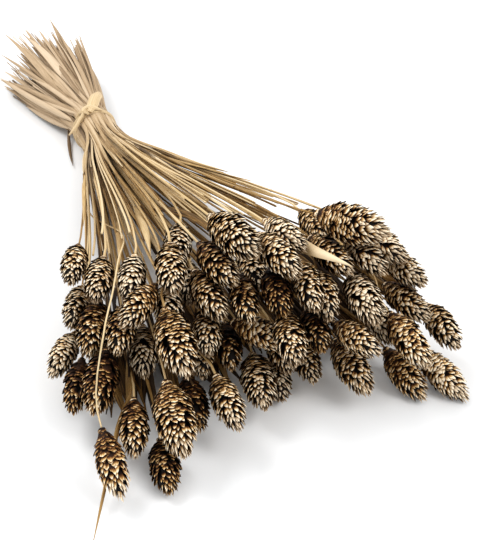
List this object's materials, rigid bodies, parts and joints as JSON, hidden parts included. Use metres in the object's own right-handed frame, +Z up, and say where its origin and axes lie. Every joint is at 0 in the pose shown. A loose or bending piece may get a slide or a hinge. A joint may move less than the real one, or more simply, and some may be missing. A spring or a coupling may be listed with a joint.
{
  "type": "dried canary grass bunch",
  "caption": "Bunch of dried canary grass lying down: oval seed heads of overlapping pointed scales on thin straw stems, fanned out from a tied neck near the cut ends.",
  "frame": {"origin": "on the table, at the middle of the flat spot under the tie", "axes": "+Z up, +Y along the bunch from the heads to the cut ends, +X to the right as seen from the heads' side looking along +Y"},
  "size_m": [0.2405, 0.5715, 0.1071],
  "materials": {
    "husk": "dry, matt seed husks, dark brown at their roots and golden to cream at their tips",
    "straw": "dry, matt straw with fine lengthwise grain",
    "binding": "dry, matt plant fibre strand"
  },
  "bodies": {
    "root": {"head_01": "husk", "head_02": "husk", "head_03": "husk", "head_04": "husk", "head_05": "husk", "head_06": "husk", "head_07": "husk", "head_08": "husk", "head_09": "husk", "head_10": "husk", "head_11": "husk", "head_12": "husk", "head_13": "husk", "head_14": "husk", "head_15": "husk", "head_16": "husk", "head_17": "husk", "head_18": "husk", "head_19": "husk", "head_20": "husk", "head_21": "husk", "head_22": "husk", "head_23": "husk", "head_24": "husk", "head_25": "husk", "head_26": "husk", "head_27": "husk", "head_28": "husk", "head_29": "husk", "head_30": "husk", "head_31": "husk", "head_32": "husk", "head_33": "husk", "head_34": "husk", "head_35": "husk", "head_36": "husk", "head_37": "husk", "head_38": "husk", "head_39": "husk", "head_40": "husk", "head_41": "husk", "head_42": "husk", "head_43": "husk", "head_44": "husk", "head_45": "husk", "head_46": "husk", "head_47": "husk", "head_48": "husk", "head_49": "husk", "head_50": "husk", "head_51": "husk", "head_52": "husk", "head_53": "husk", "head_54": "husk", "head_55": "husk", "head_56": "husk", "head_57": "husk", "head_58": "husk", "stems": "straw", "tie": "binding"}
  },
  "joints": []
}
